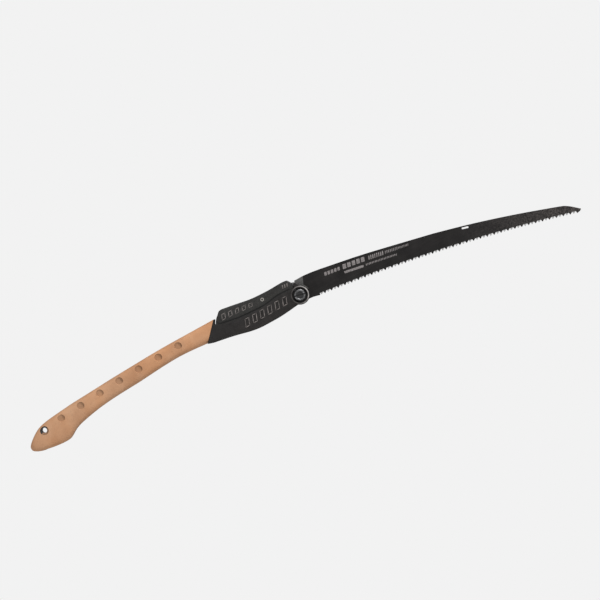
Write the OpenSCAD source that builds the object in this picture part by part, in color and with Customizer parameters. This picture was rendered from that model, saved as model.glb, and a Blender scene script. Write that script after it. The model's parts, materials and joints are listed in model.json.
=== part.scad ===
// Folding hand saw with a long two-handed grip, a moulded front section with a rocker lock,
// and a slim curved blade. The origin is the centre of the hang hole. +X runs along the
// handle to the pivot and on along the open blade, +Z is up, and the teeth face -Z.
// The blade lies in the plane Y = 0. All lengths are in millimetres.

/* [Pivot] */
// Distance from the hang hole to the blade pivot
pivot_x = 369; // [368.5:0.1:369.5]
// Radius of the pivot bolt's shank
bolt_r = 4; // [3:0.1:4.5]
// Outer radius of the sleeve that the blade turns on
bushing_r = 6; // [5.5:0.1:6.5]
// Running clearance between the sleeve and the blade's bore
running_gap = 0.05; // [0.02:0.01:0.1]
// Angle of the second open position, above the straight one
raised_angle = 18; // [17:0.5:18]

/* [Blade] */
// Thickness of the blade
blade_t = 1.4; // [1.2:0.1:1.4]
// Number of teeth
tooth_count = 76; // [60:1:80]
// Length of the toothed edge, along its arc
toothed_length = 348; // [340:1:350]
// Height of a tooth from gullet to tip
tooth_h = 3; // [2:0.1:3.2]
// Radius of the tooth line's arc
tooth_arc_r = 2275; // [2250:5:2300]
// Radius of the round rim at the blade's rear end
tang_r = 16.5; // [16:0.1:16.5]

/* [Grip] */
// Half the thickness of the grip
grip_half_w = 10.5; // [10:0.1:11]
// Radius of the hang hole
hang_hole_r = 3.4; // [3:0.1:3.4]
// Number of thumb dimples on each side
dimple_count = 7; // [5:1:7]
// Spacing of the thumb dimples
dimple_pitch = 29.1; // [28:0.1:29.5]
// Depth of a thumb dimple
dimple_depth = 1.3; // [0.6:0.1:1.6]

/* [Frame] */
// Clear width of the channel that the blade folds into
channel_w = 4.4; // [4.2:0.1:4.4]
// Thickness of each frame plate
plate_t = 1.5; // [1.2:0.1:1.6]
// Radius of the frame rivets
rivet_r = 1.6; // [1.2:0.1:1.8]

/* [Front section] */
// Half the thickness of the front section over its two covers
cover_half_w = 10.5; // [10:0.1:10.8]
// Radius of the round boss about the pivot
boss_r = 12.5; // [12.3:0.1:13]
// Radius of the recess that takes the bolt head or the nut
recess_r = 10; // [9:0.1:10.5]
// Number of raised bars on each cover
cover_bar_count = 6; // [4:1:6]
// Height of the raised bars above the surface
relief_h = 0.5; // [0.3:0.1:0.6]

/* [Lock lever] */
// Half the thickness of the lever cap
lever_half_w = 8.6; // [8.2:0.1:8.6]
// Radius of the lever pin
lever_pin_r = 2.5; // [2.2:0.1:2.6]
// Turn of the lever from released to locked
lock_angle = 3.2; // [2.8:0.1:3.3]
// Number of raised bars on each side of the lever
lever_bar_count = 5; // [3:1:5]

/* [Hidden] */
$fn = 64;

pivot = [pivot_x, 0];
lever_axis = [323.6, 17.4];
channel_half = channel_w / 2;
plate_out = channel_half + plate_t;
side_gap = 0.3;
latch_half_t = channel_half - side_gap;
reach = 100;

// ---- Curves ----

// One point of a smooth curve between b and c, with a and d as its outer neighbours
function between(a, b, c, d, t) =
    (2 * b + (c - a) * t + (2 * a - 5 * b + 4 * c - d) * t * t
    + (3 * b - a - 3 * c + d) * t * t * t) / 2;

// Smooth curve through the points p, with n steps from each point to the next
function smooth(p, n) = [
    for (i = [0 : len(p) - 2], k = [0 : n - 1])
        between(p[max(i - 1, 0)], p[i], p[i + 1], p[min(i + 2, len(p) - 1)], k / n),
    p[len(p) - 1]
];

// Points of an arc about c from angle a to angle b
function arc(c, r, a, b, n) = [
    for (i = [0 : n])
        let (angle = a + (b - a) * i / n)
        c + r * [cos(angle), sin(angle)]
];

function reverse(p) = [for (i = [len(p) - 1 : -1 : 0]) p[i]];

// ---- Helpers: outlines are drawn in X and Z, and thickness runs along Y ----

// A plate of the given outline from y0 to y1
module plate(outline, y0, y1) {
    translate([0, y1, 0]) rotate([90, 0, 0]) linear_extrude(height = y1 - y0) polygon(outline);
}

// A round bar along Y at the place c = [x, z]
module bar_y(c, r, y0, y1, sides = 64) {
    translate([c[0], y1, c[1]]) rotate([90, 0, 0]) cylinder(h = y1 - y0, r = r, $fn = sides);
}

// A cone along Y at the place c = [x, z]
module cone_y(c, r0, r1, y0, y1) {
    translate([c[0], y1, c[1]]) rotate([90, 0, 0]) cylinder(h = y1 - y0, r1 = r1, r2 = r0);
}

// Children turned clockwise about the point c, as seen with +X to the right and +Z up
module turned(c, angle) {
    translate([c[0], 0, c[1]]) rotate([0, angle, 0]) translate([-c[0], 0, -c[1]]) children();
}

// ---- Grip ----

// Sections along the grip: top x and z, bottom x and z, half thickness
grip_sections = [
    [-26.4, -11.4, -26.8, -14.2, 3.5],
    [-24, -7.8, -24.8, -17.4, 7],
    [-17, -1.4, -18.6, -20.8, 9.4],
    [-5, 6.4, -8, -23.7, grip_half_w - 0.2],
    [10, 9.8, 7, -25.9, grip_half_w],
    [22, 11.3, 19, -26.5, grip_half_w],
    [30, 12.3, 26.4, -25.3, grip_half_w],
    [37, 13, 32.5, -20.9, grip_half_w],
    [46, 14, 44, -15.2, grip_half_w],
    [74, 16, 76, -8.2, grip_half_w],
    [105, 18.4, 107, -4.8, grip_half_w],
    [134, 20.2, 136, -2.9, grip_half_w],
    [164, 21.9, 167, 0.2, grip_half_w],
    [194, 23, 195, 1.9, grip_half_w],
    [226, 23.7, 217, 1.2, grip_half_w],
    [256.9, 24.1, 235.7, -0.2, grip_half_w]
];
grip_steps = 2;
grip_squareness = 3.4;
ring_sides = 24;

// One side-rounded ring of the grip: flat sides that roll over into the top and the bottom
function rounded(v) = sign(v) * pow(abs(v), 2 / grip_squareness);
function grip_ring(s) = [
    for (k = [0 : ring_sides - 1])
        let (a = 360 * (k + 0.5) / ring_sides, up = (1 + rounded(sin(a))) / 2)
        [s[2] + (s[0] - s[2]) * up, s[4] * rounded(cos(a)), s[3] + (s[1] - s[3]) * up]
];

// A closed solid through a row of rings that have the same number of points
module skin(rings) {
    n = len(rings[0]);
    m = len(rings);
    sides = [
        for (i = [0 : m - 2], k = [0 : n - 1])
            let (a = i * n + k, b = i * n + (k + 1) % n)
            each [[a, b, b + n], [a, b + n, a + n]]
    ];
    first = [for (k = [n - 1 : -1 : 0]) k];
    last = [for (k = [0 : n - 1]) (m - 1) * n + k];
    polyhedron(points = [for (r = rings) each r], faces = concat([first], sides, [last]), convexity = 6);
}

dimple_r = 9;
dimple_first = [26.5, 3.6];
function dimple_place(i) =
    let (x = dimple_first[0] + i * dimple_pitch, u = i / 6)
    [x, dimple_first[1] + 18.8 * u - 6.9 * u * u];
sink_depth = 3;

module grip() {
    color([0.74, 0.56, 0.42]) difference() {
        skin([for (s = smooth(grip_sections, grip_steps)) grip_ring(s)]);
        plate(concat(frame_top_in_grip, [[262, -reach], [-9.5, -reach]]), -plate_out, plate_out);
        bar_y([0, 0], hang_hole_r, -reach, reach);
        for (side = [-1, 1]) {
            mirror([0, side < 0 ? 1 : 0, 0]) {
                cone_y([0, 0], hang_hole_r, hang_hole_r + sink_depth, 7.5, 7.5 + sink_depth);
                for (i = [0 : dimple_count - 1])
                    let (place = dimple_place(i))
                    translate([place[0], grip_half_w - dimple_depth + dimple_r, place[1]])
                        sphere(r = dimple_r);
            }
        }
    }
}

// ---- Frame: two plates, two spacers along the channel's roof, and rivets ----

frame_top_in_grip = [
    [-9.5, -4.6], [9, -4.6], [18, -0.5], [40, 1.6], [80, 4.2], [120, 7.6], [160, 10], [200, 11.2],
    [240, 11.6], [262, 11.8]
];
frame_top_in_front = [
    [266, 12], [268, 19.4], [300, 20], [317, 20.5], [330, 20.5], [335, 15.5], [352, 15.5],
    [357, 19.1], [366.5, 19.1], [370, 18], [377, 9.6]
];
frame_bottom = [
    [349, -10.1], [334, -11.7], [319, -11.8], [305, -12.1], [291, -10.2], [278, -7.1], [265, -4.5],
    [252, -2.4], [236, 1.2], [217, 2.8], [195, 3.5], [167, 2.2], [136, -0.9], [107, -3.2], [76, -6.7],
    [45, -13.4], [34, -18.9], [27, -23.4], [19, -25], [7, -24.4], [-9.5, -21.8]
];
rivet_places = [[62, 0.4], [140, 6.1], [222, 8.7], [300, 10.8]];
stop_pin_r = 1.1;
stop_pin_gap = 0.15;
stop_pin_angle = 107.4;
stop_pin_place = pivot + (tang_r + stop_pin_gap + stop_pin_r) * [cos(stop_pin_angle), sin(stop_pin_angle)];
rest_pin_r = 1;
rest_sleeve_r = 1.9;
rest_place = [347.6, 9];

module frame_plate(y0) {
    y1 = y0 + plate_t;
    front = arc(pivot, boss_r - 0.3, 50, -128, 24);
    color([0.55, 0.55, 0.57]) difference() {
        plate(concat(frame_top_in_grip, frame_top_in_front, front, frame_bottom), y0, y1);
        bar_y(pivot, bolt_r, -reach, reach);
        bar_y(lever_axis, lever_pin_r, -reach, reach);
        bar_y(stop_pin_place, stop_pin_r, -reach, reach);
        bar_y(rest_place, rest_pin_r, -reach, reach);
        for (p = rivet_places)
            bar_y(p, rivet_r, -reach, reach);
    }
}

module frame_plate_left() {
    frame_plate(-plate_out);
}

module frame_plate_right() {
    frame_plate(channel_half);
}

spring_seat_z = 19;

// A spacer between the plates, held by the rivets at the given places
module spacer(outline, places) {
    color([0.45, 0.45, 0.47]) difference() {
        plate(outline, -channel_half, channel_half);
        for (p = places)
            bar_y(p, rivet_r, -reach, reach);
    }
}

module spacer_rear() {
    spacer([
        [14, -2.32], [18, -0.5], [40, 1.6], [80, 4.2], [120, 7.6], [148, 9.28], [148, 4.08], [120, 2.4],
        [80, -1], [40, -3.6], [14, -4.6]
    ], [rivet_places[0], rivet_places[1]]);
}

// The front spacer also carries the seat of the lever's spring
module spacer_front() {
    spacer([
        [152, 9.52], [160, 10], [200, 11.2], [240, 11.6], [262, 11.8], [266, 12], [268, spring_seat_z],
        [289, spring_seat_z], [292, 13.5], [308, 12.6], [310, 9.6], [300, 8.6], [262, 7], [240, 6.4],
        [200, 6], [160, 4.8], [152, 4.32]
    ], [rivet_places[2], rivet_places[3]]);
}

module frame_rivets() {
    color([0.7, 0.7, 0.72])
        for (p = rivet_places)
            bar_y(p, rivet_r, -plate_out, plate_out, 32);
}

module stop_pin() {
    color([0.75, 0.75, 0.77]) bar_y(stop_pin_place, stop_pin_r, -plate_out, plate_out, 32);
}

module rest_pin() {
    color([0.75, 0.75, 0.77]) bar_y(rest_place, rest_pin_r, -plate_out, plate_out, 32);
}

module rest_sleeve() {
    color([0.12, 0.12, 0.12]) difference() {
        bar_y(rest_place, rest_sleeve_r, -channel_half, channel_half, 32);
        bar_y(rest_place, rest_pin_r, -reach, reach, 32);
    }
}

// ---- Front covers ----

cover_bottom = [
    [235.7, -0.2], [243, -2.4], [252, -3.9], [265, -6], [278, -8.6], [291, -11.5], [305, -13.4],
    [319, -13.4], [334, -13], [349, -11.5]
];
cover_seam = [
    [369.6, 18], [367.6, 15], [366.9, 12], [359, 12.4], [349, 13.2], [340, 12.6], [327, 10.4], [315, 9.6],
    [300, 10.3], [288, 10.9], [279, 12.2], [269, 13.9], [258, 16.4], [255.4, 17.8], [258.6, 23.4],
    [256.9, 24.1]
];
pocket = [
    [253.6, 12], [258, 10.4], [270, 7.4], [290, 5.6], [315, 5.4], [330, 6.2], [342, 7.6], [367.4, 7.6],
    [367.4, reach], [262, reach], [258.2, 25], [255.7, 21.4], [254.6, 16]
];
recess_floor = 7.5;
skin_in = lever_half_w + side_gap;
cover_edge = 0.9;
cover_bar_foot = [288.6, -4.6];
cover_bar_step = [10.9, 0.3];
bar_root = 0.2;

// A raised slanted bar whose foot is at p
module slanted_bar(p, w, h, y0, y1) {
    lean = 0.35 * h;
    plate([p, p + [w, 0], p + [w + lean, h], p + [lean, h]], y0, y1);
}

module cover_body() {
    boss = arc(pivot, boss_r, -128, 50, 24);
    outline = concat(smooth(cover_bottom, 2), boss, [[370.8, 17.4]], cover_seam);
    difference() {
        union() {
            plate(outline, plate_out, cover_half_w - cover_edge);
            intersection() {
                plate(outline, cover_half_w - cover_edge, cover_half_w);
                translate([cover_edge * 0.4, 0, cover_edge]) plate(outline, 0, reach);
                translate([cover_edge * 0.4, 0, -cover_edge]) plate(outline, 0, reach);
            }
            for (i = [0 : cover_bar_count - 1])
                slanted_bar(cover_bar_foot + i * cover_bar_step, 6.2, 10.4,
                    cover_half_w - bar_root, cover_half_w + relief_h);
        }
        plate(pocket, 0, skin_in);
        bar_y(pivot, bolt_r + 0.1, 0, reach);
        bar_y(pivot, recess_r, recess_floor, reach);
    }
}

module cover_left() {
    color([0.2, 0.18, 0.17]) mirror([0, 1, 0]) cover_body();
}

module cover_right() {
    color([0.2, 0.18, 0.17]) cover_body();
}

// ---- Pivot ----

head_r = 7.5;
head_t = 2.6;
slot_w = 1.6;
slot_depth = 1.2;
nut_t = 2.1;
washer_r = 11;
blade_side_gap = 0.05;

module pivot_bolt() {
    color([0.3, 0.3, 0.32]) difference() {
        union() {
            bar_y(pivot, bolt_r, -recess_floor, recess_floor + nut_t + 0.4);
            bar_y(pivot, head_r - 0.6, -recess_floor - head_t, -recess_floor);
            bar_y(pivot, head_r, -recess_floor - head_t + 0.6, -recess_floor);
        }
        translate([pivot[0], -recess_floor - head_t, pivot[1]]) rotate([0, 35, 0])
            cube([3 * head_r, 2 * slot_depth, slot_w], center = true);
    }
}

module pivot_nut() {
    color([0.35, 0.35, 0.37]) difference() {
        bar_y(pivot, head_r, recess_floor, recess_floor + nut_t, 6);
        bar_y(pivot, bolt_r, -reach, reach);
    }
}

module pivot_bushing() {
    color([0.72, 0.6, 0.35]) difference() {
        bar_y(pivot, bushing_r, -channel_half, channel_half);
        bar_y(pivot, bolt_r, -reach, reach);
    }
}

module washer(y0) {
    color([0.72, 0.6, 0.35]) difference() {
        bar_y(pivot, washer_r, y0, y0 + channel_half - blade_t / 2 - blade_side_gap);
        bar_y(pivot, bushing_r, -reach, reach);
    }
}

module washer_left() {
    washer(-channel_half);
}

module washer_right() {
    washer(blade_t / 2 + blade_side_gap);
}

// ---- Lock lever ----

lever_top = [
    [261, 24.2], [264, 26.6], [267.2, 30], [270.3, 30.9], [276, 30.2], [283.8, 29.1], [297.3, 27],
    [310.6, 25], [325, 24.3], [339, 24.3], [352, 25], [360, 24.8], [363.2, 24.1]
];
lever_bottom = [
    [366.8, 18.4], [366.3, 12.2], [365.6, 10.8], [340, 10.4], [327, 8.2], [315, 7.4], [290, 7],
    [270, 8.8], [259, 12], [256.2, 13.4], [256.6, 17.4]
];
lever_cavity = [
    [250, 0], [250, 12.7], [265, 13.1], [265, 25], [270, 28.2], [284, 26.5], [297.3, 24.5], [310.6, 22.5],
    [325, 21.9], [339, 21.9], [354, 22.5], [reach * 4, 22.5], [reach * 4, 0]
];
latch_pin_place = [343, 19];
latch_pin_r = 1.25;
latch_pin_half = 7.4;
lever_edge = 1.1;
lever_running_gap = 0.05;
lever_bar_foot = [266, 17.6];
lever_bar_step = [9.4, -0.5];
lever_relief = 0.25;

module lever_cap() {
    outline = concat(smooth(lever_top, 2), lever_bottom);
    color([0.22, 0.21, 0.2]) difference() {
        union() {
            plate(outline, -lever_half_w + lever_edge, lever_half_w - lever_edge);
            intersection() {
                plate(outline, -lever_half_w, lever_half_w);
                translate([0, 0, -lever_edge]) plate(outline, -reach, reach);
            }
            for (i = [0 : lever_bar_count - 1])
                slanted_bar(lever_bar_foot + i * lever_bar_step, 5.4, 7.4 - 0.6 * i,
                    -lever_half_w - lever_relief, lever_half_w + lever_relief);
        }
        plate(lever_cavity, -plate_out - side_gap, plate_out + side_gap);
        bar_y(lever_axis, lever_pin_r + lever_running_gap, -reach, reach);
        bar_y(latch_pin_place, latch_pin_r, -latch_pin_half, latch_pin_half);
    }
}

module lever_pin() {
    bore_r = 1.3;
    slit = 0.7;
    color([0.8, 0.78, 0.74]) difference() {
        bar_y(lever_axis, lever_pin_r, -lever_half_w, lever_half_w);
        bar_y(lever_axis, bore_r, -reach, reach);
        translate([lever_axis[0], 0, lever_axis[1] + lever_pin_r])
            cube([slit, 3 * lever_half_w, 2 * lever_pin_r], center = true);
    }
}

module latch_pin() {
    color([0.75, 0.75, 0.77]) bar_y(latch_pin_place, latch_pin_r, -latch_pin_half, latch_pin_half, 32);
}

// The nose stands just clear of the tang's rim while the lever is released
nose_x = [358.6, 361];
nose_gap = 0.45;
function rim_z(x) = sqrt(pow(tang_r, 2) - pow(x - pivot[0], 2));
nose_z = [rim_z(nose_x[0]) + nose_gap, rim_z(nose_x[1]) + nose_gap];
latch_eye_r = 4.3;

module lock_latch() {
    arm = [
        [322, 13.4], [352, 13.4], [nose_x[0], 14.4], [nose_x[0], nose_z[0]], [nose_x[1], nose_z[1]],
        [nose_x[1], 19], [356, 21], [322, 21]
    ];
    color([0.6, 0.6, 0.62]) difference() {
        union() {
            plate(arm, -latch_half_t, latch_half_t);
            bar_y(lever_axis, latch_eye_r, -latch_half_t, latch_half_t);
        }
        bar_y(lever_axis, lever_pin_r + lever_running_gap, -reach, reach);
        bar_y(latch_pin_place, latch_pin_r, -reach, reach);
    }
}

// Spring: a round wire wound about a vertical line, from the spacer to the cap
spring_x = 279;
spring_r = 1.6;
spring_wire_r = 0.3;
spring_turns = 6;
spring_length = 7.6;
rings_per_turn = 14;
wire_sides = 6;

module lever_spring() {
    rise = spring_length - 2 * spring_wire_r;
    count = spring_turns * rings_per_turn;
    rings = [
        for (i = [0 : count])
            let (turn = 360 * i / rings_per_turn, z = spring_seat_z + spring_wire_r + rise * i / count)
            [
                for (k = [wire_sides - 1 : -1 : 0])
                    let (a = 360 * k / wire_sides, r = spring_r + spring_wire_r * cos(a))
                    [spring_x + r * cos(turn), r * sin(turn), z + spring_wire_r * sin(a)]
            ]
    ];
    color([0.7, 0.7, 0.72]) skin(rings);
}

// ---- Blade ----

tooth_arc_centre = [160.7, -2274.4];
tooth_arc_start = 84.15;
tip_below_arc = 1.3;
tooth_rake = 0.36;
blade_back = [
    [382, 19.9], [396, 18.9], [421, 15.3], [461, 8.7], [514, -1.5], [566, -12.6], [617, -25.4],
    [667, -39.9], [714, -55]
];
nose = [[736, -72.6], [738.4, -70.8], [733.5, -66.6], [727.7, -61.9], [721.5, -57.9]];
shoulder = [370.7, 19.6];
heel = [[383, -10.1], [392, -12.2]];
blade_hole = [595.8, -22.9];
blade_hole_tilt = 14.8;
blade_hole_length = 9;
blade_hole_r = 1.1;
notch_gap = 0.25;
notch_top = 17;

function tooth_point(i, r) =
    let (a = tooth_arc_start - i * toothed_length / tooth_count / tooth_arc_r * 180 / PI)
    tooth_arc_centre + r * [cos(a), sin(a)];

// A gullet and a tip for each tooth; the steep cutting face looks towards the handle
tooth_line = [
    for (i = [0 : tooth_count - 1])
        each [
            tooth_point(i, tooth_arc_r - tip_below_arc + tooth_h),
            tooth_point(i + tooth_rake, tooth_arc_r - tip_below_arc)
        ]
];

// The place that the latch's nose drops into, cut where the nose lies when the lever is locked
module lock_notch() {
    turned(lever_axis, lock_angle)
        plate([
            [nose_x[0] - notch_gap, nose_z[0] - notch_gap], [nose_x[1] + notch_gap, nose_z[1] - notch_gap],
            [nose_x[1] + notch_gap, pivot[1] + notch_top], [nose_x[0] - notch_gap, pivot[1] + notch_top]
        ], -reach, reach);
}

module blade() {
    step_angle = atan2(shoulder[1] - pivot[1], shoulder[0] - pivot[0]);
    straight = blade_hole_length - 2 * blade_hole_r;
    outline = concat(
        arc(pivot, tang_r, step_angle, 195, 28), [pivot + [-1.3, -9.3]], heel, tooth_line, nose,
        reverse(smooth(blade_back, 3)), [shoulder]
    );
    color([0.17, 0.16, 0.16]) difference() {
        plate(outline, -blade_t / 2, blade_t / 2);
        bar_y(pivot, bushing_r + running_gap, -reach, reach);
        for (angle = [0, raised_angle])
            turned(pivot, angle) lock_notch();
        turned(blade_hole, blade_hole_tilt) {
            for (end = [-0.5, 0.5])
                bar_y(blade_hole + [end * straight, 0], blade_hole_r, -reach, reach, 24);
            translate([blade_hole[0], 0, blade_hole[1]])
                cube([straight, reach, 2 * blade_hole_r], center = true);
        }
    }
}

grip();
cover_left();
cover_right();
frame_plate_left();
frame_plate_right();
spacer_rear();
spacer_front();
frame_rivets();
pivot_bolt();
pivot_nut();
pivot_bushing();
washer_left();
washer_right();
lever_pin();
lever_spring();
stop_pin();
rest_pin();
rest_sleeve();
lever_cap();
lock_latch();
latch_pin();
blade();
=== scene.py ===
"""Looks for a folding hand saw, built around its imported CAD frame.

Outlines are cut from the CAD nodes' meshes at a chosen thickness, and places come from the nodes' boxes and
the joints. Numbers times MM are fine shapes that the CAD leaves plain. The units are metres: +X runs along
the handle to the blade, +Z is up, and Y is thickness.
"""

import functools
import json
import math

import bmesh
import bpy
from mathutils import Matrix, Vector


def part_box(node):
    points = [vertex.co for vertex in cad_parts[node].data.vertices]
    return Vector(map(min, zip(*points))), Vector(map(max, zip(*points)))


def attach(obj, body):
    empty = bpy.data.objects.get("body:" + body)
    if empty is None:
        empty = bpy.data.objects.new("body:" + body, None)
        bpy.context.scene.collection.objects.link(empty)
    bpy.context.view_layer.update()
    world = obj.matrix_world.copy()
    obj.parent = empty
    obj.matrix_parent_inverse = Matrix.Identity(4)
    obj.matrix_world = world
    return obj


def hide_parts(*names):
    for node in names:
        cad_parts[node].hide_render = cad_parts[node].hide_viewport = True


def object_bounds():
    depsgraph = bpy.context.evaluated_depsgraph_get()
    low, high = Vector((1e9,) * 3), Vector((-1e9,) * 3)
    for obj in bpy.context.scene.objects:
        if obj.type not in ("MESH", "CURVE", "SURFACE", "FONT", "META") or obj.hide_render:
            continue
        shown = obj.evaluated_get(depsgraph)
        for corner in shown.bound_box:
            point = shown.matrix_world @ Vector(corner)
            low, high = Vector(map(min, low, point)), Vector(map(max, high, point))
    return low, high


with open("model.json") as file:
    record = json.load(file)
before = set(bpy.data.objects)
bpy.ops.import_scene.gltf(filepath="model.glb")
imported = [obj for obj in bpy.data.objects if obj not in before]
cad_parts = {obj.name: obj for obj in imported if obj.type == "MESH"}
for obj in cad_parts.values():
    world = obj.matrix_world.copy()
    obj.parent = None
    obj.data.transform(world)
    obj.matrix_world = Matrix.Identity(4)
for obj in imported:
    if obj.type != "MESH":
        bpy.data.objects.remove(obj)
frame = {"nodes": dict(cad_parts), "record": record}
cad_box = [list(corner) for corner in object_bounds()]

MM = 0.001
NODES = frame["nodes"]
JOINTS = {joint["name"]: joint for joint in frame["record"]["behaviour"]["joints"]}
PIVOT = Vector(JOINTS["blade_pivot"]["pos_m"])
LEVER_AXIS = Vector(JOINTS["lever_pivot"]["pos_m"])


# -------------------------------- outlines

def cut_loops(node, y):
    """The closed outlines, as lists of (x, z), of a CAD node cut at the thickness y, longest first."""
    bm = bmesh.new()
    bm.from_mesh(NODES[node].data)
    bmesh.ops.remove_doubles(bm, verts=bm.verts, dist=1e-7)
    cut = bmesh.ops.bisect_plane(
        bm, geom=bm.verts[:] + bm.edges[:] + bm.faces[:], plane_co=(0, y, 0), plane_no=(0, 1, 0)
    )
    edges = {e for e in cut["geom_cut"] if isinstance(e, bmesh.types.BMEdge)}
    loops = []
    while edges:
        edge = min(edges, key=lambda e: e.index)
        edges.discard(edge)
        start, at = edge.verts
        loop = [start, at]
        while at is not start:
            following = [e for e in at.link_edges if e in edges]
            if not following:
                break
            edges.discard(following[0])
            at = following[0].other_vert(at)
            loop.append(at)
        loops.append([(v.co.x, v.co.z) for v in loop[:-1]])
    bm.free()
    loops = [counterclockwise(without_straight_points(loop)) for loop in loops if len(loop) > 3]
    return sorted(loops, key=perimeter, reverse=True)


def steps(loop):
    """Pairs of neighbouring points round a closed outline."""
    return list(zip(loop, loop[1:] + loop[:1]))


def perimeter(loop):
    return sum(math.dist(a, b) for a, b in steps(loop))


def counterclockwise(loop):
    area = sum(a[0] * b[1] - b[0] * a[1] for a, b in steps(loop))
    return loop if area > 0 else loop[::-1]


def turn_at(before, at, after):
    """How far a path turns at a point, in degrees."""
    one = math.atan2(at[1] - before[1], at[0] - before[0])
    two = math.atan2(after[1] - at[1], after[0] - at[0])
    return math.degrees((two - one + math.pi) % (2 * math.pi) - math.pi)


def without_straight_points(loop):
    """A closed outline without its repeated points and those at which it hardly turns."""
    least_turn = 0.4
    kept = [p for p, q in steps(loop) if math.dist(p, q) > 1e-6]
    n = len(kept)
    return [kept[i] for i in range(n) if abs(turn_at(kept[i - 1], kept[i], kept[(i + 1) % n])) > least_turn]


def spline_point(a, b, c, d, t):
    """A point between b and c on the smooth curve through a, b, c and d."""
    return tuple(
        0.5 * (2 * q + (r - p) * t + (2 * p - 5 * q + 4 * r - s) * t * t + (3 * q - p - 3 * r + s) * t ** 3)
        for p, q, r, s in zip(a, b, c, d)
    )


def smoothed(loop, spacing, corner=24, passes=3):
    """A closed outline with its gentle turns made into curves and its corners softened, in even steps.
    A corner turns by more than the given degrees, and each pass softens it a little."""
    n = len(loop)
    sharp = [abs(turn_at(loop[i - 1], loop[i], loop[(i + 1) % n])) > corner for i in range(n)]
    made = []
    for i in range(n):
        b, c = loop[i], loop[(i + 1) % n]
        a = b if sharp[i] else loop[i - 1]
        d = c if sharp[(i + 1) % n] else loop[(i + 2) % n]
        count = max(1, round(math.dist(b, c) / spacing))
        made += [spline_point(a, b, c, d, k / count) for k in range(count)]
    for _ in range(passes):
        made = [
            tuple((p + 2 * q + r) / 4 for p, q, r in zip(made[i - 1], made[i], made[(i + 1) % len(made)]))
            for i in range(len(made))
        ]
    return made


def room(loop):
    """How far each point of a counterclockwise outline can move inwards before it meets its neighbours."""
    n = len(loop)
    least_turn, rise = 0.04, 0.45
    limits = []
    for i in range(n):
        least = 1.0
        for k in range(1, 5):
            a, b, c = (loop[j % n] for j in (i - k, i, i + k))
            turn = math.radians(turn_at(a, b, c))
            if turn > least_turn:
                least = min(least, (math.dist(a, b) + math.dist(b, c)) / 4 / math.tan(turn / 2))
        limits.append(least)
    for order in (range(n), reversed(range(n)), range(n), reversed(range(n))):
        for i in order:
            for j in ((i - 1) % n, (i + 1) % n):
                limits[i] = min(limits[i], limits[j] + rise * math.dist(loop[i], loop[j]))
    return limits


def inset(loop, distance, shares=None):
    """A counterclockwise outline moved inwards. shares say how much of the distance each point moves."""
    n = len(loop)
    moved = []
    for i in range(n):
        before, at, after = (Vector(loop[k % n]) for k in (i - 1, i, i + 1))
        one, two = (at - before).normalized(), (after - at).normalized()
        normal = Vector((-(one + two).y, (one + two).x))
        if normal.length < 1e-9:
            normal = Vector((-one.y, one.x))
        normal.normalize()
        moved.append(tuple(at + normal * distance * (shares[i] if shares else 1.0)))
    return moved


def top_of(loop, x):
    """The highest point of a closed outline at x."""
    return max(
        a[1] + (b[1] - a[1]) * (x - a[0]) / (b[0] - a[0])
        for a, b in steps(loop)
        if min(a[0], b[0]) <= x < max(a[0], b[0])
    )


# -------------------------------- meshes

def new_object(name, bm, smooth_angle=32):
    """An object from a bmesh, shaded smooth up to an angle in degrees."""
    bmesh.ops.remove_doubles(bm, verts=bm.verts, dist=1e-7)
    bmesh.ops.recalc_face_normals(bm, faces=bm.faces)
    mesh = bpy.data.meshes.new(name)
    bm.to_mesh(mesh)
    bm.free()
    mesh.shade_smooth()
    mesh.set_sharp_from_angle(angle=math.radians(smooth_angle))
    thing = bpy.data.objects.new(name, mesh)
    bpy.context.scene.collection.objects.link(thing)
    return thing


def bridge(bm, rings, closed_ends=True):
    """Faces between rings of points, with a cap on each end if they are closed. It returns their vertices."""
    rows = [[bm.verts.new(p) for p in ring] for ring in rings]
    for one, two in zip(rows, rows[1:]):
        n = len(one)
        for i in range(n):
            bm.faces.new((one[i], one[(i + 1) % n], two[(i + 1) % n], two[i]))
    if closed_ends:
        bm.faces.new(rows[0][::-1])
        bm.faces.new(rows[-1])
    return rows


def slab(name, loop, profile, weight=None):
    """A plate with the given (x, z) outline. profile is a list of (inset, y) from one side to the other, and
    weight says how much of the inset a point takes. Tight corners take less, so no ring crosses itself."""
    deepest = max(d for d, _ in profile) or 1.0
    shares = [min(1.0, 0.8 * limit / deepest) for limit in room(loop)]
    if weight:
        n = len(loop)
        wanted = [weight(Vector(at)) for at in loop]
        for _ in range(6):
            wanted = [(wanted[i - 1] + 2 * wanted[i] + wanted[(i + 1) % n]) / 4 for i in range(n)]
        shares = [min(share, want) for share, want in zip(shares, wanted)]
    bm = bmesh.new()
    bridge(bm, [[(x, y, z) for x, z in inset(loop, d, shares)] for d, y in profile])
    return new_object(name, bm)


def round_edge(y0, y1, radius0, radius1):
    """A slab's profile from y0 to y1 with its two rims rounded by a quarter circle."""
    count = 6
    quarter = [math.pi / 2 * i / count for i in range(count + 1)]
    first = [(radius0 * (1 - math.sin(a)), y0 + radius0 * (1 - math.cos(a))) for a in quarter]
    last = [(radius1 * (1 - math.cos(a)), y1 - radius1 * (1 - math.sin(a))) for a in quarter]
    return first + last


def circle(centre, radius, y, sides):
    """Points of a circle about a line along Y."""
    angles = [2 * math.pi * k / sides for k in range(sides)]
    return [(centre.x + radius * math.cos(a), y, centre.z + radius * math.sin(a)) for a in angles]


def near_side(profile):
    """A profile of (radius, |y|) in millimetres as (radius, y) in metres on the -Y side."""
    return [(r * MM, -y * MM) for r, y in profile]


def both_sides(profile):
    """A profile of (radius, |y|) in millimetres, from outside in, as one in metres from -Y through to +Y."""
    return near_side(profile) + [(r * MM, y * MM) for r, y in profile[::-1]]


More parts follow.
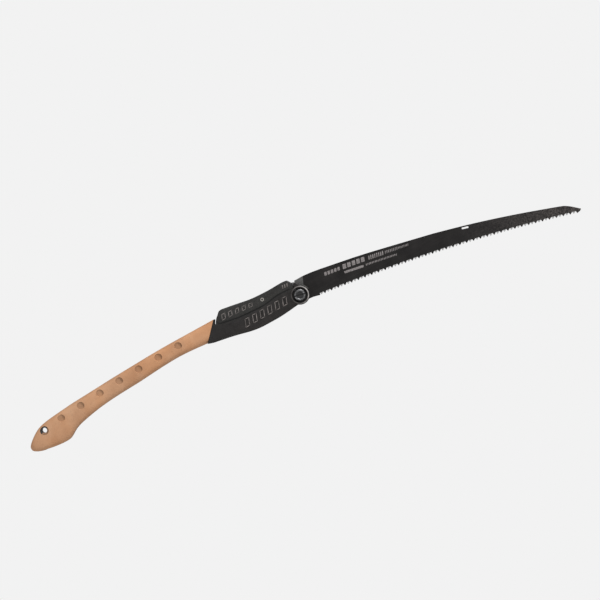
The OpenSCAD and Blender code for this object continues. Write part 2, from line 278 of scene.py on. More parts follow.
def turned(name, centre, profile, sides=96, ring=False):
    """A solid of revolution about a line along Y, or a ring round it. profile is a list of (radius, y)."""
    bm = bmesh.new()
    rings = [circle(centre, r, y, sides) for r, y in profile]
    if ring:
        rings.append(rings[0])
    bridge(bm, rings, closed_ends=not ring)
    return new_object(name, bm)


def triangulated(thing):
    """Splits the object's many-sided faces, so that booleans handle them more safely."""
    bm = bmesh.new()
    bm.from_mesh(thing.data)
    bmesh.ops.triangulate(bm, faces=[f for f in bm.faces if len(f.verts) > 4])
    bm.to_mesh(thing.data)
    bm.free()


def baked(thing, smooth_angle):
    """Applies the object's modifiers, and closes the slivers that a boolean leaves."""
    graph = bpy.context.evaluated_depsgraph_get()
    mesh = bpy.data.meshes.new_from_object(thing.evaluated_get(graph))
    old = thing.data
    thing.modifiers.clear()
    thing.data = mesh
    mesh.name = thing.name
    bpy.data.meshes.remove(old)
    bm = bmesh.new()
    bm.from_mesh(mesh)
    bmesh.ops.remove_doubles(bm, verts=bm.verts, dist=2e-6)
    bmesh.ops.dissolve_degenerate(bm, dist=1e-6, edges=bm.edges)
    bmesh.ops.holes_fill(bm, edges=[e for e in bm.edges if e.is_boundary], sides=4)
    bm.to_mesh(mesh)
    bm.free()
    mesh.shade_smooth()
    mesh.set_sharp_from_angle(angle=math.radians(smooth_angle))


def removed(thing):
    """Deletes an object that has served its purpose."""
    mesh = thing.data
    bpy.data.objects.remove(thing)
    bpy.data.meshes.remove(mesh)


def carved(base, cutters, smooth_angle=32):
    """The base with each cutter taken out of it. The cutters are deleted."""
    triangulated(base)
    for cutter in cutters:
        triangulated(cutter)
        cut = base.modifiers.new("cut", "BOOLEAN")
        cut.operation = "DIFFERENCE"
        cut.solver = "EXACT"
        cut.object = cutter
        baked(base, smooth_angle)
        removed(cutter)
    return base


def joined(name, things):
    """One object from several, each of which stays a closed shell of its own."""
    bm = bmesh.new()
    for thing in things:
        bm.from_mesh(thing.data)
        removed(thing)
    return new_object(name, bm)


# -------------------------------- materials

class Shader:
    """A Principled material with short calls for the node chains that the finishes share."""

    def __init__(self, name, color, roughness, metallic=0.0, specular=0.5):
        self.material = bpy.data.materials.new(name)
        self.material.use_nodes = True
        self.nodes = self.material.node_tree.nodes
        self.links = self.material.node_tree.links
        self.bsdf = self.nodes["Principled BSDF"]
        self.bsdf.inputs["Base Color"].default_value = (*color, 1)
        self.bsdf.inputs["Roughness"].default_value = roughness
        self.bsdf.inputs["Metallic"].default_value = metallic
        self.bsdf.inputs["Specular IOR Level"].default_value = specular
        self.place = self.nodes.new("ShaderNodeTexCoord").outputs["Object"]

    def put(self, socket, value):
        """Links a node's output to a socket, or sets the socket's own value."""
        if hasattr(value, "is_linked"):
            self.links.new(value, socket)
        else:
            color = socket.type == "RGBA" and isinstance(value, tuple)
            socket.default_value = (*value, 1) if color else value

    def node(self, kind, **values):
        """A new node, with values or links for the sockets of those names."""
        node = self.nodes.new("ShaderNode" + kind)
        for name, value in values.items():
            self.put(node.inputs[name], value)
        return node

    def mapped(self, scale, turn=0.0):
        """Coordinates stretched per axis, after a turn about Y."""
        return self.node("Mapping", Vector=self.place, Scale=scale, Rotation=(0, turn, 0)).outputs["Vector"]

    def noise(self, scale, detail=4.0, roughness=0.55, vector=None, distortion=0.0):
        node = self.node("TexNoise", Vector=vector or self.place, Scale=scale, Detail=detail)
        node.inputs["Roughness"].default_value = roughness
        node.inputs["Distortion"].default_value = distortion
        return node.outputs["Fac"]

    def cells(self, scale):
        return self.node("TexVoronoi", Vector=self.place, Scale=scale).outputs["Distance"]

    def ramp(self, value, *stops):
        """A colour ramp; each stop is (place, grey or colour)."""
        node = self.node("ValToRGB", Fac=value)
        band = node.color_ramp.elements
        while len(band) < len(stops):
            band.new(0.5)
        for element, (place, tint) in zip(band, stops):
            element.position = place
            element.color = (*tint, 1) if isinstance(tint, tuple) else (tint, tint, tint, 1)
        return node.outputs["Color"]

    def mix(self, factor, one, two, blend="MIX"):
        node = self.node("Mix")
        node.data_type = "RGBA"
        node.blend_type = blend
        for k, value in ((0, factor), (6, one), (7, two)):
            self.put(node.inputs[k], value)
        return node.outputs[2]

    def math(self, operation, one, two=0.0):
        node = self.node("Math")
        node.operation = operation
        for socket, value in zip(node.inputs, (one, two)):
            self.put(socket, value)
        return node.outputs[0]

    def axis(self, name):
        """One coordinate of the place, in metres."""
        return self.node("SeparateXYZ", Vector=self.place).outputs[name]

    def distance_to(self, point):
        node = self.node("VectorMath", Vector=self.place)
        node.operation = "DISTANCE"
        node.inputs[1].default_value = point
        return node.outputs["Value"]

    def span(self, value, low, high, to_low=0.0, to_high=1.0):
        """The value mapped from one range to another and clamped."""
        node = self.node("MapRange", Value=value)
        for socket, number in zip(list(node.inputs)[1:5], (low, high, to_low, to_high)):
            socket.default_value = number
        return node.outputs["Result"]

    def color(self, output):
        self.links.new(output, self.bsdf.inputs["Base Color"])

    def rough(self, output):
        self.links.new(output, self.bsdf.inputs["Roughness"])

    def bumps(self, *layers):
        """Bump layers, each (height, strength, depth in metres)."""
        previous = None
        for height, strength, depth in layers:
            node = self.node("Bump", Strength=strength, Distance=depth, Height=height)
            if previous:
                self.put(node.inputs["Normal"], previous)
            previous = node.outputs["Normal"]
        self.put(self.bsdf.inputs["Normal"], previous)


def elastomer(name, depth):
    """Tan rubbery moulding, mottled, with a fine grain and darker flecks. depth scales its tone, and the
    darker copies carry painted shade.
    """
    s = Shader(name, (0.44 * depth, 0.24 * depth, 0.132 * depth), 0.75, specular=0.25)
    clouds = s.noise(38, 4, 0.55, distortion=0.4)
    tones = (0.39, 0.205, 0.11), (0.438, 0.238, 0.131), (0.48, 0.272, 0.155)
    low, plain, high = (tuple(c * depth for c in tone) for tone in tones)
    patches = s.ramp(clouds, (0.3, low), (0.5, plain), (0.7, high))
    blush = s.ramp(s.noise(30, 3, 0.5), (0.36, (1.0, 0.93, 0.86)), (0.64, (0.97, 0.98, 1.0)))
    patches = s.mix(1.0, patches, blush, "MULTIPLY")
    fleck = s.ramp(s.noise(520, 3, 0.7), (0.28, 0.72), (0.44, 1.0))
    s.color(s.mix(0.6, patches, fleck, "MULTIPLY"))
    s.rough(s.span(s.noise(260, 3), 0.3, 0.7, 0.64, 0.86))
    s.bumps((s.noise(240, 3), 0.3, 0.0004), (s.noise(1500, 2, 0.6), 0.35, 0.0002))
    return s.material


def painted_seam_shadow(s):
    """A factor that falls along the seam of covers and lever: a painted shadow line where they meet, but not
    on the boss. A colour ramp over X holds the seam's height."""
    outline = cut_loops("cover_left", -RIM_CUT)[0]
    first, last, count = min(p[0] for p in outline) + 2 * MM, PIVOT.x - 11 * MM, 20
    heights = [top_of(outline, first + (last - first) * k / count) for k in range(count + 1)]
    low, high = min(heights), max(heights)
    stops = [(k / count, (z - low) / (high - low)) for k, z in enumerate(heights)]
    level = s.span(s.ramp(s.span(s.axis("X"), first, last), *stops), 0.0, 1.0, low, high)
    apart = s.math("ABSOLUTE", s.math("SUBTRACT", s.axis("Z"), level))
    # Painted shadow along the seam line, fading out within 1.5 mm of it
    shade = s.span(apart, 0.6 * MM, 1.5 * MM, 0.22, 1.0)
    return s.math("MAXIMUM", shade, s.span(s.axis("X"), last, last + 3 * MM))


def black_plastic(name, color, roughness, face, top, boss=False):
    """Dark nylon: eroded grain, faint streaks, painted shade on edges rounding off from the face at |y| =
    face, relief rubbed pale towards its top at |y| = top, and on a boss's rim a painted highlight, pale in
    front and dark at the back."""
    s = Shader(name, color, roughness, specular=0.3)
    streaks = s.noise(60, 4, 0.6, s.mapped((0.35, 1, 1)))
    lighter = tuple(c * 1.7 for c in color)
    darker = tuple(c * 0.6 for c in color)
    tint = s.ramp(streaks, (0.3, darker), (0.55, color), (0.78, lighter))
    speck = s.ramp(s.noise(1000, 2, 0.8), (0.42, 0.55), (0.62, 1.0), (0.74, 2.6))
    tint = s.mix(0.8, tint, speck, "MULTIPLY")
    height = s.math("ABSOLUTE", s.axis("Y"))
    # Painted shade: edges darken where they round off from the face, and most along the seam's painted shadow
    edges = s.span(height, face - 0.7 * MM, face - 0.05 * MM, 0.3, 1.0)
    edges = s.math("MULTIPLY", edges, painted_seam_shadow(s))
    tint = s.mix(1.0, tint, s.ramp(edges, (0.0, 0.0), (1.0, 1.0)), "MULTIPLY")
    rubbed = s.span(height, face + 0.6 * (top - face) - 0.06 * MM, top - 0.04 * MM)
    uneven = s.ramp(s.noise(210, 4, 0.6), (0.34, 0.3), (0.62, 1.0))
    pale = (0.2, 0.178, 0.168)
    if boss:
        # Painted highlight: the boss's rim is pale in front, where the key lamp would catch it, and faded at
        # the back
        ahead = s.span(s.axis("X"), PIVOT.x - 10 * MM, PIVOT.x + 12 * MM)
        faded = s.span(s.axis("X"), PIVOT.x - 14.5 * MM, PIVOT.x - 12 * MM, 1.0, 0.2)
        rubbed = s.math("MULTIPLY", rubbed, s.math("MAXIMUM", faded, ahead))
        pale = s.mix(ahead, pale, (0.42, 0.4, 0.385))
    s.color(s.mix(s.math("MULTIPLY", rubbed, uneven), tint, pale))
    s.rough(s.span(s.noise(180, 4), 0.3, 0.72, roughness - 0.12, roughness + 0.16))
    s.bumps((s.noise(140, 3), 0.15, 0.0004), (s.cells(1100), 0.5, 0.0002))
    return s.material


def coated_steel():
    """The blade's dark low-glare coating, with lengthwise grinding lines and a speckled, rubbed nose. The
    tang is bare up to a slanted edge above the pivot, and so is a narrow band round the boss."""
    s = Shader("blade_coating", (0.012, 0.011, 0.0107), 0.42, 0.3, specular=0.3)
    lines = s.noise(900, 4, 0.7, s.mapped((0.02, 1, 1), turn=-0.16))
    cloud = s.noise(45, 4, 0.6)
    base = s.ramp(cloud, (0.3, (0.0075, 0.0068, 0.0068)), (0.7, (0.0145, 0.0128, 0.0122)))
    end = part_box("blade")[1].x
    nose = s.span(s.axis("X"), end - 160 * MM, end - 10 * MM)
    speckle = s.ramp(s.noise(620, 3, 0.8), (0.42, 0.0), (0.66, 1.0))
    worn = s.math("MULTIPLY", nose, speckle)
    ground = s.mix(0.35, base, s.ramp(lines, (0.35, 0.5), (0.65, 1.0)), "MULTIPLY")
    coat = s.mix(worn, ground, (0.085, 0.074, 0.07))

    over = s.math("SUBTRACT", s.axis("X"), s.math("MULTIPLY", s.axis("Z"), 0.4))
    slanted = s.span(over, PIVOT.x + 6.1 * MM, PIVOT.x + 6.4 * MM, 1.0, 0.0)
    band = s.span(s.distance_to(PIVOT), 13.7 * MM, 14.0 * MM, 1.0, 0.0)
    upper = s.span(s.axis("Z"), 2.2 * MM, 2.9 * MM)
    bare = s.math("MULTIPLY", s.math("MAXIMUM", slanted, band), upper)
    bare = s.math("MAXIMUM", bare, s.span(s.axis("X"), PIVOT.x + 1 * MM, PIVOT.x + 1.4 * MM, 1.0, 0.0))
    steel = s.mix(0.7, (0.115, 0.114, 0.11), s.ramp(lines, (0.3, 0.55), (0.7, 1.15)), "MULTIPLY")
    s.color(s.mix(bare, coat, steel))
    s.links.new(s.span(bare, 0.0, 1.0, 0.3, 0.6), s.bsdf.inputs["Metallic"])
    s.rough(s.span(s.math("ADD", lines, cloud), 0.6, 1.4, 0.36, 0.58))
    s.bumps((lines, 0.12, 0.0002), (s.noise(1300, 2), 0.12, 0.00012))
    return s.material


def ground_steel(name, tone, roughness):
    """Bare ground steel with fine parallel grinding marks and a slight stain."""
    s = Shader(name, (tone, tone, tone * 0.98), roughness, 0.85)
    lines = s.noise(700, 5, 0.75, s.mapped((0.03, 1, 1)))
    stain = s.noise(120, 4, 0.6)
    tint = s.ramp(lines, (0.25, tone * 0.72), (0.75, tone * 1.25))
    s.color(s.mix(s.span(stain, 0.45, 0.8, 0.0, 0.5), tint, (tone * 0.62, tone * 0.56, tone * 0.5)))
    s.rough(s.span(s.math("ADD", lines, stain), 0.6, 1.4, roughness - 0.1, roughness + 0.14))
    s.bumps((lines, 0.15, 0.00015))
    return s.material


def turned_metal(name, color, roughness, metallic=1.0, rubbed=None, recess_shade=None):
    """Machined metal with tiny pits and uneven polish. rubbed is (inner, outer), a ring round the pivot that
    has worn bright. recess_shade is (low, high), the levels of |y| between which the painted shade in a
    recess fades out."""
    s = Shader(name, color, roughness, metallic)
    spots = s.noise(500, 4, 0.7)
    dark, bright = tuple(c * 0.6 for c in color), tuple(min(1, c * 1.3) for c in color)
    tint = s.ramp(spots, (0.3, dark), (0.6, color), (0.85, bright))
    if rubbed:
        across = s.math("POWER", s.math("SUBTRACT", s.axis("X"), PIVOT.x), 2.0)
        radius = s.math("POWER", s.math("ADD", across, s.math("POWER", s.axis("Z"), 2.0)), 0.5)
        inner, outer = rubbed
        from_inner = s.span(radius, inner - 0.3 * MM, inner)
        ring = s.math("MULTIPLY", from_inner, s.span(radius, outer, outer + 0.2 * MM, 1.0, 0.0))
        worn = s.math("MULTIPLY", ring, s.ramp(s.noise(160, 3), (0.35, 0.25), (0.6, 1.0)))
        tint = s.mix(worn, tint, tuple(min(1, c * 3.2) for c in color))
    if recess_shade:
        # Painted shade: darker and less metallic deeper in the recess
        unshaded = s.span(s.math("ABSOLUTE", s.axis("Y")), *recess_shade, 0.1, 1.0)
        tint = s.mix(1.0, tint, s.ramp(unshaded, (0.0, 0.0), (1.0, 1.0)), "MULTIPLY")
        s.links.new(s.math("MULTIPLY", unshaded, metallic), s.bsdf.inputs["Metallic"])
    s.color(tint)
    s.rough(s.span(s.noise(230, 4), 0.3, 0.7, roughness - 0.1, roughness + 0.14))
    s.bumps((s.noise(1200, 3), 0.2, 0.0001))
    return s.material


def soft_rubber():
    """Dark rubber with a dusty bloom."""
    s = Shader("dark_rubber", (0.02, 0.02, 0.02), 0.8)
    s.color(s.ramp(s.noise(300, 4), (0.3, 0.012), (0.75, 0.035)))
    s.bumps((s.noise(900, 3), 0.3, 0.0002))
    return s.material


def print_ink():
    """Pale screen-printed ink, thin in places."""
    s = Shader("pale_ink", (0.26, 0.235, 0.232), 0.6)
    bare, thin, full = (0.035, 0.032, 0.031), (0.19, 0.172, 0.169), (0.28, 0.258, 0.254)
    s.color(s.ramp(s.noise(900, 4, 0.75), (0.34, bare), (0.56, thin), (0.8, full)))
    s.bumps((s.noise(900, 2), 0.2, 0.00008))
    return s.material


# Levels of |y|: the cut that shows a cover's full outline, the flat faces of covers and lever with the tops
# of their relief, the pivot bolt's head, and the lever pin's ends
RIM_CUT = 9.2 * MM
COVER_FACE, COVER_TOP = 10.5 * MM, 10.98 * MM
LEVER_FACE, LEVER_TOP = 8.6 * MM, 8.84 * MM
BOLT_FACE = -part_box("pivot_bolt")[0].y
PIN_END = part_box("lever_pin")[1].y

TAN = elastomer("tan_elastomer", 0.95)
# Darker copies of the tan for painted shade: the dimple floors, the half-shaded walls and the painted shadow
TAN_FLOOR_SHADE = elastomer("tan_elastomer_floor_shade", 0.75)
TAN_SHADOW = elastomer("tan_elastomer_shadow", 0.24)
TAN_HALF_SHADE = elastomer("tan_elastomer_half_shade", 0.56)
COVER_BLACK = black_plastic("cover_nylon", (0.0105, 0.0085, 0.0078), 0.5, COVER_FACE, COVER_TOP, boss=True)
LEVER_BLACK = black_plastic("lever_nylon", (0.023, 0.0222, 0.0205), 0.48, LEVER_FACE, LEVER_TOP)
COATING = coated_steel()
BEVEL_STEEL = ground_steel("tooth_bevel_steel", 0.62, 0.34)
FRAME_STEEL = ground_steel("plate_steel", 0.2, 0.4)
BOLT_STEEL = turned_metal(
    "bolt_black_oxide", (0.062, 0.062, 0.063), 0.42, rubbed=(5.2 * MM, 7.0 * MM),
    recess_shade=(BOLT_FACE - 1.2 * MM, BOLT_FACE - 0.6 * MM),
)
PIN_STEEL = turned_metal("bright_pin_steel", (0.6, 0.575, 0.53), 0.28)
AXLE_STEEL = turned_metal(
    "lever_axle_steel", (0.6, 0.575, 0.53), 0.32, recess_shade=(PIN_END - 1.2 * MM, PIN_END - 0.3 * MM)
)
BRASS = turned_metal("bushing_brass_turned", (0.62, 0.42, 0.16), 0.35)
ALUMINIUM = turned_metal("spacer_milled", (0.55, 0.55, 0.57), 0.4)
RUBBER = soft_rubber()
INK = print_ink()


def finish_piece(thing, material, body, slot, *nodes):
    """Gives a made piece its material if it has none and its body, and hides the CAD nodes it stands for.
    slot is not used.
    """
    if not any(thing.data.materials):
        thing.data.materials.clear()
        thing.data.materials.append(material)
    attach(thing, body)
    if nodes:
        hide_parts(*nodes)


def repaint(material, *nodes):
    """A material for CAD nodes that keep their shape."""
    for node in nodes:
        mesh = NODES[node].data
        mesh.materials.clear()
        mesh.materials.append(material)


# -------------------------------- grip

GRIP_LOW, GRIP_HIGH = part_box("grip")
GRIP_HALF = GRIP_HIGH.y
PLATE_OUT = -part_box("frame_plate_left")[0].y
HANG_HOLE = frame["record"]["mounts"][0]
BUTT_LENGTH = 22 * MM
ROUNDNESS = 3.1
SIDE_POINTS = 104
LIP = 0.8 * MM


def split_outline(loop):
    """An outline's top and bottom chains, both from the butt to the front, as lists of (x, z)."""
    n = len(loop)
    butt = min(range(n), key=lambda i: loop[i][0])
    high_front = max(range(n), key=lambda i: loop[i][0] + 0.4 * loop[i][1])
    walk = [loop[(butt + i) % n] for i in range(n)]
    low_front = max(range(n), key=lambda i: walk[i][0] - 1.4 * walk[i][1] if walk[i][0] > 200 * MM else -1)
    top_at = (high_front - butt) % n
    return [walk[0], *reversed(walk[top_at:])], walk[:low_front + 1]


def resampled(path, count):
    """Evenly spaced points along an open path."""
    reach = [0.0]
    for a, b in zip(path, path[1:]):
        reach.append(reach[-1] + math.dist(a, b))
    made, k = [], 0
    for i in range(count + 1):
        at = reach[-1] * (i / count)
        while k < len(path) - 2 and reach[k + 1] < at:
            k += 1
        t = (at - reach[k]) / max(reach[k + 1] - reach[k], 1e-12)
        made.append(tuple(p + (q - p) * min(max(t, 0), 1) for p, q in zip(path[k], path[k + 1])))
    return made


def value_at(path, x):
    """The z of an open path of (x, z), which runs towards +X, at the given x."""
    for a, b in zip(path, path[1:]):
        if x <= b[0]:
            return a[1] + (b[1] - a[1]) * min(max((x - a[0]) / max(b[0] - a[0], 1e-9), 0), 1)
    return path[-1][1]


def evened(values, passes=10):
    """Numbers smoothed by their neighbours, with the ends held."""
    for _ in range(passes):
        inner = [(a + 2 * b + c) / 4 for a, b, c in zip(values, values[1:], values[2:])]
        values = [values[0], *inner, values[-1]]
    return values


@functools.cache
def superellipse(gap):
    """Points (y, u) round a section from its bottom's +Y lip to its -Y lip, with u from 0 below to 1 on top.
    gap is the lip's distance from the middle, as a share of the half width."""
    power, fine = 2 / ROUNDNESS, 4000
    dense = []
    for k in range(fine + 1):
        a = math.pi * (-0.5 + 2 * k / fine)
        y = math.copysign(abs(math.cos(a)) ** power, math.cos(a))
        u = (1 + math.copysign(abs(math.sin(a)) ** power, math.sin(a))) / 2
        if u > 0.3 or abs(y) >= gap:
            dense.append((y, u))
    return resampled(dense, SIDE_POINTS - 1)


def grip_chains():
    """The grip's top and bottom lines, the roof of the blade's channel, and the x of its end wall."""

    def along(p):
        return p[0]

    top, middle_bottom = split_outline(cut_loops("grip", 0.5 * MM)[0])
    _, side_bottom = split_outline(cut_loops("grip", 4.5 * MM)[0])
    # Behind the channel the bottom line is read at the middle, and beside it at the side. The plates' upper
    # edges are the channel's roof up to their step near the covers.
    behind, roof_end = -10 * MM, 264.5 * MM
    bottom = [p for p in middle_bottom if p[0] < behind and p[1] < behind]
    bottom = sorted(bottom + [p for p in side_bottom if p[0] > behind], key=along)
    plate = cut_loops("frame_plate_left", -(PLATE_OUT - 0.5 * MM))[0]
    rear = min(plate, key=lambda p: p[0] - p[1] * 0.01)
    above = [p for p in plate if p[1] > value_at(bottom, p[0]) + 4 * MM]
    roof = sorted([p for p in above if p[0] < roof_end], key=along)
    return sorted(top, key=along), bottom, roof, rear[0]


def ring_shares(length, wall):
    """The shares of the grip's length that have a ring: close together at the butt, even along the rest, one
    at the channel's end wall, and three more to round the front end."""
    butt = BUTT_LENGTH / length
    at_butt, along = 26, 230
    shares = [butt * (1 - math.cos(math.pi / 2 * k / at_butt)) for k in range(1, at_butt)]
    shares += [butt + (1 - butt) * k / along for k in range(along + 1)]
    shares = sorted([s for s in shares if abs(s - wall) > 0.0012] + [wall])
    return shares[:-1] + [1 - 0.9 * MM / length, 1 - 0.35 * MM / length, 1 - 0.1 * MM / length, 1.0]


def grip_sections(low, high, half, trim, roof, closed, channelled):
    """The grip's closed section, its section with the channel, or both, between the points low and high of
    its bottom and top lines. trim is what the section has lost all round."""
    tall = (high - low).length

    def at(y, u):
        place = low.lerp(high, 0.5 + (u - 0.5) * (1 - 2 * trim / tall))
        return place.x, y, place.y

    lip_at = (PLATE_OUT + LIP) / max(half, PLATE_OUT + 2 * LIP)
    outer = superellipse(round(lip_at, 3))
    floor = outer[-1][1]
    quarter = [math.pi / 2 * k / 4 for k in range(1, 5)]
    lips = [(PLATE_OUT + LIP * (1 - math.sin(a)), floor + LIP * (1 - math.cos(a)) / tall) for a in quarter]
    roof_level = 0.0
    for _ in range(3):
        x = low.lerp(high, roof_level).x
        roof_level = (value_at(roof, x) - low.y) / max(high.y - low.y, 1e-6)

    flat = [(y * half / GRIP_HALF, floor * 0.5) for y, _ in lips]
    rings = []
    for edge, level in [(flat, 0.0)] * closed + [(lips, roof_level)] * channelled:
        ring = [at(y * half, u) for y, u in outer]
        ring += [at(-y, u) for y, u in edge] + [at(-edge[-1][0], level), at(edge[-1][0], level)]
        rings.append(ring + [at(y, u) for y, u in edge[::-1]])
    return rings


def grip_rings():
    """The grip's sections from the butt to the front. They lean over towards the slanted joint with the
    covers, are closed behind the channel's end wall, and are both closed and channelled at the wall."""
    top, bottom, roof, wall_x = grip_chains()
    start = GRIP_LOW.x + 0.35 * MM
    length = top[-1][0] - start
    wall = (wall_x - start) / length
    shares = ring_shares(length, wall)
    lean_from, lean = 0.62, length - (bottom[-1][0] - start)
    x_tops = [start + length * s for s in shares]
    x_bottoms = [
        x - max(0.0, (s - lean_from) / (1 - lean_from)) ** 1.5 * lean for x, s in zip(x_tops, shares)
    ]
    z_tops = evened([value_at(top, x) for x in x_tops])
    z_bottoms = evened([value_at(bottom, x) for x in x_bottoms])
    trims = [0.0] * (len(shares) - 3) + [0.05 * MM, 0.2 * MM, 0.55 * MM]
    rings = []
    for i, share in enumerate(shares):
        into_butt = 1 - min(1.0, (x_tops[i] - GRIP_LOW.x) / BUTT_LENGTH)
        half = GRIP_HALF * (1 - into_butt ** 3) ** 0.42 - trims[i]
        low, high = Vector((x_bottoms[i], z_bottoms[i])), Vector((x_tops[i], z_tops[i]))
        rings += grip_sections(low, high, half, trims[i], roof, share <= wall, share >= wall)
    return rings


def dimple_places(thing):
    """The CAD grip's thumb dimples: their centres (x, z), and the level of the made grip's side there."""
    loops = [loop for loop in cut_loops("grip", -(GRIP_HALF - 1.1 * MM))[1:] if perimeter(loop) < 40 * MM]
    places = []
    for loop in loops:
        centre = Vector([sum(values) / len(loop) for values in zip(*loop)])
        # The outline near the origin is the hang hole's
        if centre.length > 12 * MM:
            near = [v.co for v in thing.data.vertices if math.dist(v.co.xz, centre) < 1.5 * MM]
            places.append((centre, max(abs(co.y) for co in near)))
    return places


def cup_cutters(centre, surface):
    """The shapes that cut a steep cup with a rounded mouth and a nearly flat floor into both sides."""
    # Each point: radius and depth
    cup = [
        (5.3, -2.0), (5.3, -0.15), (5.0, 0.0), (4.82, 0.16), (4.7, 0.5), (4.6, 1.1), (4.35, 1.6),
        (3.8, 1.85), (2.0, 1.95), (0.01, 1.98),
    ]
    at = Vector((centre.x, 0, centre.y))
    return [turned("cup", at, [(r * MM, s * (surface - d * MM)) for r, d in cup], 48) for s in (-1, 1)]


def hang_hole_cutter():
    """The shape that cuts the hang hole, with a bowl for a mouth on both sides."""
    bore = HANG_HOLE["dims"]["r_mm"]
    # Each point: what the radius has over the bore's, and |y|
    bowl = [
        (3.0, 12.0), (3.0, 10.75), (2.6, 10.5), (2.3, 10.1), (2.1, 9.5), (2.0, 8.6), (1.75, 7.9), (1.2, 7.5),
        (0.6, 7.35), (0.15, 7.15), (0.0, 6.8),
    ]
    return turned("hang_cut", Vector(HANG_HOLE["pos_m"]), both_sides([(bore + r, y) for r, y in bowl]), 64)


def paint_grip(thing, dimples):
    """Painted shade: the dimples are darker, darkest as a painted shadow under their upper front rims, and
    the hang hole's walls are painted black as shadow on the upper side and half shaded below.
    """
    thing.data.materials.clear()
    for material in (TAN, TAN_FLOOR_SHADE, TAN_HALF_SHADE, TAN_SHADOW, RUBBER):
        thing.data.materials.append(material)
    plain, floor, side, wall, black = range(5)
    shadowed_rim = Vector((0.814, 0.581))
    shaded_hole_side = Vector((-0.294, 0.956))
    bowl_reach, cup_reach, floor_reach, floor_depth = 6.6 * MM, 4.9 * MM, 4.2 * MM, 0.8 * MM
    for face in thing.data.polygons:
        at, level, facing = face.center.xz, abs(face.center.y), face.normal.xz
        # Painted shadow: the hang hole's upper walls take the black rubber, and the lower ones a half-shaded
        # tan
        if at.length < bowl_reach and facing.dot(at) < -0.15 * at.length:
            face.material_index = black if at.normalized().dot(shaded_hole_side) > -0.15 else side
        for centre, surface in dimples:
            out = at - centre
            if out.length > cup_reach or level < GRIP_HALF / 2:
                continue
            # Painted shade: cup walls towards the upper front rim are darkest, as painted shadow, the others
            # half shaded, and the deep floor a little darker
            if facing.length > 0.6 and facing.dot(out) < 0:
                towards_shadowed_rim = out.normalized().dot(shadowed_rim)
                face.material_index = wall if towards_shadowed_rim > 0.45 else side if towards_shadowed_rim > -0.05 else plain
            elif out.length < floor_reach and level < surface - floor_depth:
                face.material_index = floor


def build_grip():
    """The long tan moulding, with a channel for the folded blade, thumb dimples and a hang hole."""
    bm = bmesh.new()
    bridge(bm, grip_rings())
    thing = new_object("grip_moulding", bm, 38)
    dimples = dimple_places(thing)
    cutters = [cutter for centre, surface in dimples for cutter in cup_cutters(centre, surface)]
    carved(thing, [joined("cuts", [*cutters, hang_hole_cutter()])], 38)
    paint_grip(thing, dimples)
    return thing


finish_piece(build_grip(), TAN, "handle", "grip_elastomer", "grip")


# -------------------------------- front covers

RECESS_FLOOR = 7.5


def run_off(loop, outer):
    """The longest run of a loop's points that lie away from another outline, and one more at each end."""
    reach = 0.15 * MM

    def away(p):
        best = 1.0
        for a, b in steps(outer):
            a, b, q = Vector(a), Vector(b), Vector(p)
            t = min(max((q - a).dot(b - a) / max((b - a).length_squared, 1e-12), 0), 1)
            best = min(best, (a + (b - a) * t - q).length)
        return best > reach

    flags = [away(p) for p in loop]
    n, best = len(loop), []
    for i in range(n):
        if flags[i] and not flags[i - 1]:
            run = [loop[i - 1]]
            k = i
            while flags[k % n]:
                run.append(loop[k % n])
                k += 1
            run.append(loop[k % n])
            best = max(best, run, key=len)
    return best


def raised_bar(loop, foot, top, dished=True):
    """A raised bar with a rounded rim, from the level y = foot out to y = top. Its middle may be dished."""
    out = math.copysign(MM, top - foot)
    profile = [(0.0, foot), (0.0, top - 0.16 * out), (0.06 * MM, top - 0.05 * out), (0.16 * MM, top)]
    if dished:
        profile += [(0.72 * MM, top), (0.88 * MM, top - 0.08 * out), (1.1 * MM, top - 0.4 * out)]
    return slab("bar", smoothed(loop, 0.5 * MM, passes=2), profile)


def cover_cutters(outer):
    """The shapes that take the lever's pocket, the bolt's recess and its bore out of the left cover."""
    run = run_off(cut_loops("cover_left", -6.6 * MM)[0], outer)
    above = max(p[1] for p in run) + 30 * MM
    pocket = counterclockwise(run + [(run[-1][0], above), (run[0][0], above)])
    floor = RECESS_FLOOR
    recess = [(10.25, 12.0), (10.25, 10.9), (10.0, 10.5), (10.0, floor + 0.3), (9.7, floor)]
    return [
        slab("pocket", pocket, [(0, -8.9 * MM), (0, 0.0)]),
        turned("recess", PIVOT, near_side(recess), 120),
        turned("bore", PIVOT, near_side([(4.15, 9.0), (4.15, 0.0)]), 48),
    ]


def build_cover():
    """The near cover: a shell with a rounded edge, raised bars and a rimmed boss round the bolt's recess."""
    rough = cut_loops("cover_left", -RIM_CUT)[0]
    outline = smoothed(rough, 1.2 * MM, corner=26, passes=1)

    def weight(at):
        """A small radius along the seam under the lever, and the full one elsewhere."""
        near = [p[1] for p in outline if abs(p[0] - at.x) < 3 * MM]
        seam = at.x < PIVOT.x - 12 * MM and at.y > (max(near) + min(near)) / 2
        return 0.3 if seam else 1.0

    profile = round_edge(-COVER_FACE, -PLATE_OUT, 1.5 * MM, 0.25 * MM)
    shell = carved(slab("cover_shell_left", outline, profile, weight), cover_cutters(rough))

    # The raised bars and the boss's rim stand in the shell with their feet inside it
    reliefs = cut_loops("cover_left", -(COVER_FACE + 0.3 * MM))
    bars = [raised_bar(loop, -10.0 * MM, -COVER_TOP) for loop in reliefs]
    rim = [
        (10.06, 9.4), (10.06, 10.6), (10.3, 10.86), (10.8, 10.98), (11.4, 10.92), (11.9, 10.62), (12.1, 9.4),
    ]
    boss = turned("rim", PIVOT, near_side(rim), 120, ring=True)
    return joined("cover_shell_left", [shell, *bars, boss])


